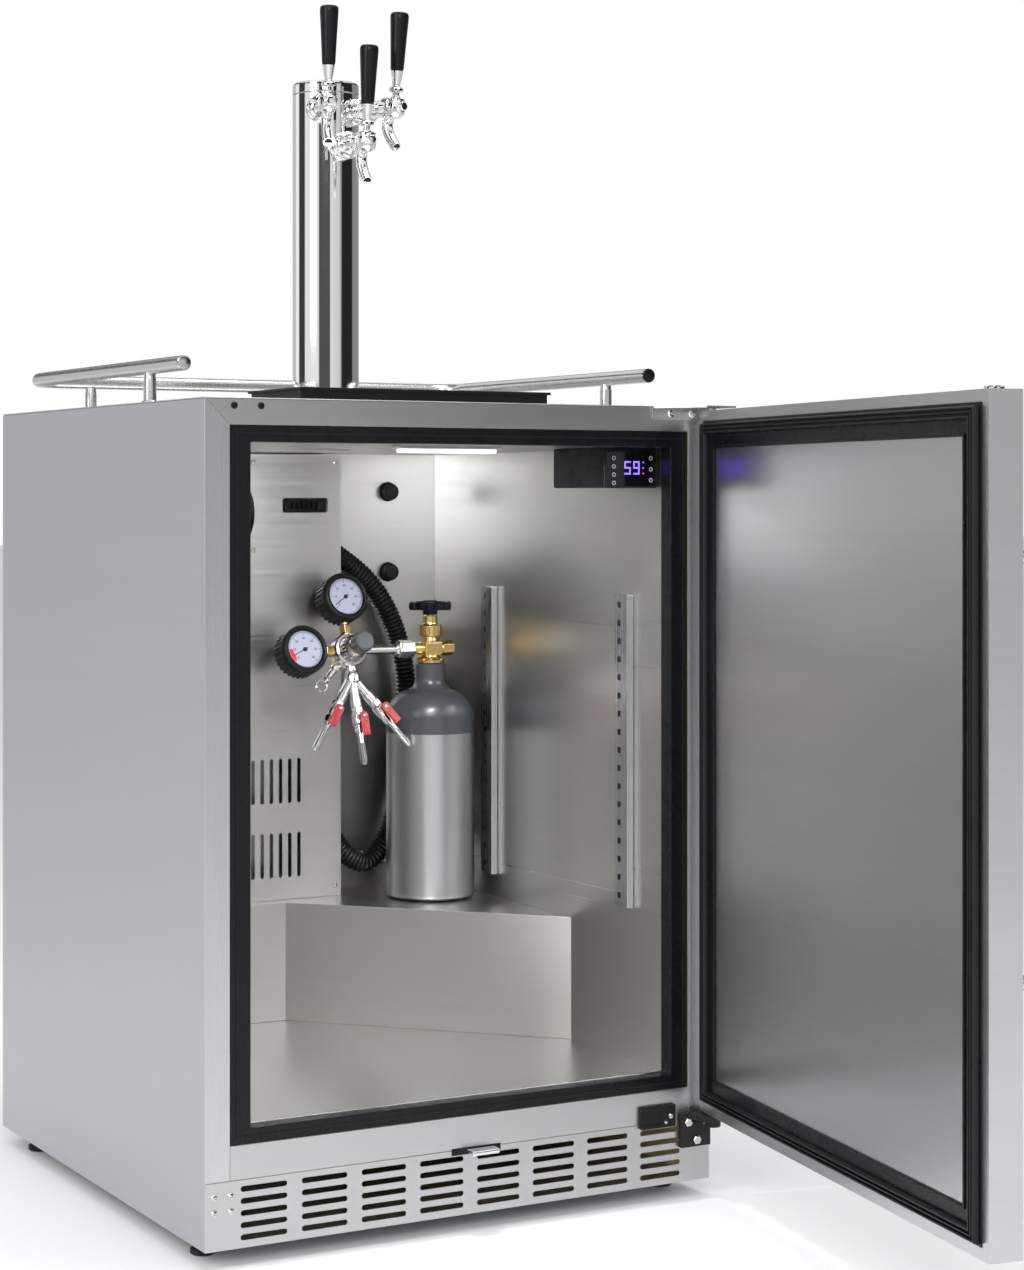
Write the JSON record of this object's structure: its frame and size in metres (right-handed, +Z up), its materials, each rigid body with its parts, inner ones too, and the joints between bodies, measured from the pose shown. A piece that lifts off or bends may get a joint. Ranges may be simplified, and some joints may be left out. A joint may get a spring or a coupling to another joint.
{
  "type": "kegerator",
  "caption": "Undercounter beer keg fridge in brushed steel with its door open, a triple-tap chrome tower, drip tray, guard rail and a gas bottle with regulator inside",
  "frame": {"origin": "middle of the base pan's underside, with the levelling feet below it", "axes": "+Z up along the tower, -Y out of the door opening, +X to the right seen from the front"},
  "size_m": [0.6143, 1.1995, 1.3098],
  "materials": {
    "side_steel": "satin",
    "galvanised": "satin",
    "brushed_steel": "satin",
    "chrome": "polished",
    "black_plastic": "satin",
    "black_gloss": "gloss",
    "black_rubber": "matte",
    "foam": "matte",
    "cast_black": "satin",
    "coil_aluminium": "satin",
    "bottle_aluminium": "satin",
    "brass": "satin",
    "red_plastic": "gloss",
    "grey_plastic": "satin",
    "lens": "gloss"
  },
  "bodies": {
    "cabinet": {"side_panel_left": "side_steel", "side_panel_right": "side_steel", "back_panel": "galvanised", "base_pan": "galvanised", "top_panel": "brushed_steel", "face_frame": "brushed_steel", "kick_plate": "brushed_steel", "liner": "brushed_steel", "step_cover": "brushed_steel", "evaporator_cover": "brushed_steel", "top_hinge_plate": "brushed_steel", "shelf_rail_front": "brushed_steel", "shelf_rail_rear": "brushed_steel", "guard_rail": "brushed_steel", "lock_strike": "chrome", "tower_column": "chrome", "tower_cap": "chrome", "tap_body_left": "chrome", "tap_body_centre": "chrome", "tap_body_right": "chrome", "breaker_frame": "black_plastic", "door_sensor": "black_plastic", "controller_housing": "black_plastic", "controller_panel": "black_gloss", "tower_hose": "black_rubber", "foot_front_left": "black_rubber", "foot_front_right": "black_rubber", "foot_rear_left": "black_rubber", "foot_rear_right": "black_rubber", "foam_insulation": "foam", "compressor": "cast_black", "bottom_hinge_bracket": "cast_black", "evaporator_coil": "coil_aluminium", "condenser_coil": "coil_aluminium", "light_strip": "lens"},
    "door": {"door_pan": "brushed_steel", "door_foam": "foam", "door_frame": "black_plastic", "door_inner_panel": "brushed_steel", "door_gasket": "black_rubber", "door_handle": "brushed_steel"},
    "tap_left": {"tap_lever_left": "black_plastic"},
    "tap_centre": {"tap_lever_centre": "black_plastic"},
    "tap_right": {"tap_lever_right": "black_plastic"},
    "gas_bottle": {"gas_cylinder": "bottle_aluminium", "cylinder_valve": "brass", "regulator_body": "chrome", "gauge_tank": "black_rubber", "gauge_line": "black_rubber", "gas_manifold": "chrome"},
    "handwheel": {"valve_handwheel": "black_plastic"},
    "knob": {"pressure_knob": "grey_plastic"},
    "relief": {"relief_ring": "chrome"},
    "shutoff_left": {"shutoff_lever_left": "red_plastic"},
    "shutoff_centre": {"shutoff_lever_centre": "red_plastic"},
    "shutoff_right": {"shutoff_lever_right": "red_plastic"},
    "coil_fan": {"evaporator_fan": "black_plastic"},
    "machine_fan": {"condenser_fan": "black_plastic"},
    "tray": {"drip_tray": "black_plastic"},
    "grille": {"drip_grille": "brushed_steel"}
  },
  "joints": [
    {"name": "door_hinge", "type": "hinge", "parent": "cabinet", "child": "door", "pos_m": [0.29, -0.318, 0.45], "axis": [0, 0, 1], "range_deg": [-80, 35]},
    {"name": "tap_left_pull", "type": "hinge", "parent": "cabinet", "child": "tap_left", "pos_m": [-0.04246, -0.05118, 1.194], "axis": [0.9563, -0.2924, 0], "range_deg": [0, 40]},
    {"name": "tap_centre_pull", "type": "hinge", "parent": "cabinet", "child": "tap_centre", "pos_m": [0, -0.0621, 1.152], "axis": [1, 0, 0], "range_deg": [0, 40]},
    {"name": "tap_right_pull", "type": "hinge", "parent": "cabinet", "child": "tap_right", "pos_m": [0.04246, -0.05118, 1.194], "axis": [0.9563, 0.2924, 0], "range_deg": [0, 40]},
    {"name": "gas_bottle_lift", "type": "slide", "parent": "cabinet", "child": "gas_bottle", "axis": [0, 0, 1], "range_m": [0, 0.1]},
    {"name": "handwheel_turn", "type": "hinge", "parent": "gas_bottle", "child": "handwheel", "pos_m": [0.192, 0.141, 0.6123], "axis": [0, 0, 1], "range_deg": [0, 540]},
    {"name": "knob_turn", "type": "hinge", "parent": "gas_bottle", "child": "knob", "pos_m": [0.08, 0.141, 0.5603], "axis": [0, -0.9511, 0.309], "range_deg": [-720, 720]},
    {"name": "relief_pull", "type": "slide", "parent": "gas_bottle", "child": "relief", "axis": [-0.7071, -0.2185, -0.6725], "range_m": [0, 0.004], "stiffness_N_per_m": 200, "springref_m": -0.001},
    {"name": "shutoff_left_turn", "type": "hinge", "parent": "gas_bottle", "child": "shutoff_left", "pos_m": [0.04943, 0.11811, 0.48985], "axis": [0, -0.9511, 0.309], "range_deg": [0, 90]},
    {"name": "shutoff_centre_turn", "type": "hinge", "parent": "gas_bottle", "child": "shutoff_centre", "pos_m": [0.08, 0.11504, 0.48041], "axis": [0, -0.9511, 0.309], "range_deg": [0, 90]},
    {"name": "shutoff_right_turn", "type": "hinge", "parent": "gas_bottle", "child": "shutoff_right", "pos_m": [0.11056, 0.11811, 0.48985], "axis": [0, -0.9511, 0.309], "range_deg": [0, 90]},
    {"name": "coil_fan_spin", "type": "hinge", "parent": "cabinet", "child": "coil_fan", "pos_m": [-0.08, 0.217, 0.726], "axis": [0, 1, 0], "continuous": true},
    {"name": "machine_fan_spin", "type": "hinge", "parent": "cabinet", "child": "machine_fan", "pos_m": [-0.16, 0.263, 0.108], "axis": [0, 1, 0], "continuous": true},
    {"name": "tray_lift", "type": "slide", "parent": "cabinet", "child": "tray", "axis": [0, 0, 1], "range_m": [0, 0.05]},
    {"name": "grille_lift", "type": "slide", "parent": "tray", "child": "grille", "axis": [0, 0, 1], "range_m": [0, 0.05]}
  ]
}
